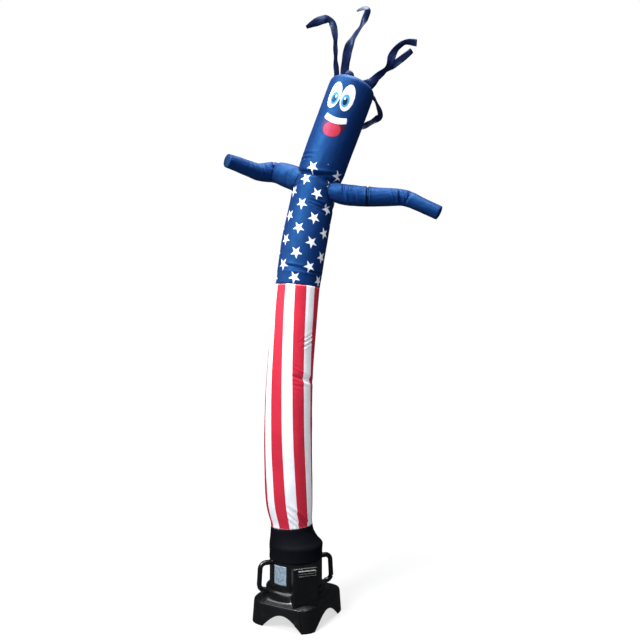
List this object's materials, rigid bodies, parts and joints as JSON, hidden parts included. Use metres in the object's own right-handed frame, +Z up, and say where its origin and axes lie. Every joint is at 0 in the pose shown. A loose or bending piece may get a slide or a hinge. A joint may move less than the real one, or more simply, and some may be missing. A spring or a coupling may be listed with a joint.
{
  "type": "inflatable air dancer with blower",
  "caption": "Tall wind dancer of coated cloth: striped tube, starred chest, simple smiling face, bent arms and ribbon hair, sleeved over a black moulded blower.",
  "frame": {"origin": "middle of the whole part's footprint box, on the surface it stands on", "axes": "+Z up along the tube; +X towards the dancer's right-hand side in the picture, where its long arm points; -Y towards the viewer, the side with the face"},
  "size_m": [2.1537, 0.8932, 6.0871],
  "materials": {
    "black_cloth": "black coated polyester, soft sheen",
    "striped_cloth": "red and white lengthwise stripes, thin coated polyester",
    "blue_cloth": "blue with white stars, thin coated polyester",
    "ribbon_cloth": "dark blue ribbon cloth, slight shine",
    "black_plastic": "black moulded plastic, fine grain",
    "pale_plate": "blank pale plate, satin"
  },
  "bodies": {
    "root": {"base_sleeve": "black_cloth", "striped_tube": "striped_cloth", "star_tube": "blue_cloth", "arm_left": "blue_cloth", "arm_right": "blue_cloth", "hair_1": "ribbon_cloth", "hair_2": "ribbon_cloth", "hair_3": "ribbon_cloth", "hair_4": "ribbon_cloth", "hair_5": "ribbon_cloth", "hair_6": "ribbon_cloth", "blower_base": "black_plastic", "blower_collar": "black_plastic", "blower_barrel": "black_plastic", "control_box": "black_plastic", "handle_left": "black_plastic", "handle_right": "black_plastic", "intake_grille": "black_plastic", "rating_plate": "pale_plate"}
  },
  "joints": []
}
